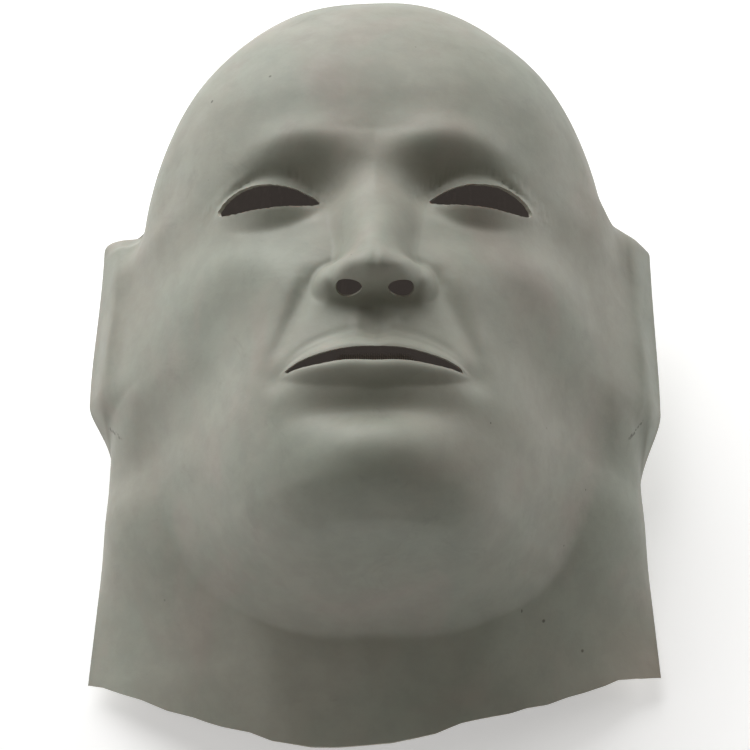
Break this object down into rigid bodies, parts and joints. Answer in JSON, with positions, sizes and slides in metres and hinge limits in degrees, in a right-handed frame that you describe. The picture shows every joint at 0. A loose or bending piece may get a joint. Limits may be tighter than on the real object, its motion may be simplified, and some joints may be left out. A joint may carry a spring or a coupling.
{
  "type": "latex overhead mask",
  "caption": "Overhead latex mask of a bald head with eye, nostril and mouth holes, a throat bib and a slit neck that opens in two flaps at the back.",
  "frame": {"origin": "on the table under the middle of the mask's box, as it lies on its back", "axes": "+Z out of the face, +Y to the crown, +X to the right as the face is seen from the front"},
  "size_m": [0.206, 0.262, 0.1339],
  "materials": {
    "latex": "matte grey-green latex",
    "gauze": "cotton gauze soaked in latex",
    "label": "white satin"
  },
  "bodies": {
    "mask": {"face_skin": "latex", "crown_skin": "latex", "slit_end_patch": "gauze"},
    "flap_left": {"nape_flap_left": "latex"},
    "flap_right": {"nape_flap_right": "latex", "size_label": "label"}
  },
  "joints": [
    {"name": "flap_left_fold", "type": "hinge", "parent": "mask", "child": "flap_left", "pos_m": [-0.09685, -0.07536, 0.00855], "axis": [0.0252, 0.9997, 0], "range_deg": [0, 60], "stiffness_Nm_per_rad": 0.05, "springref_deg": -17.19},
    {"name": "flap_right_fold", "type": "hinge", "parent": "mask", "child": "flap_right", "pos_m": [0.09685, -0.07536, 0.00855], "axis": [0.0252, -0.9997, 0], "range_deg": [0, 60], "stiffness_Nm_per_rad": 0.05, "springref_deg": -17.19}
  ]
}
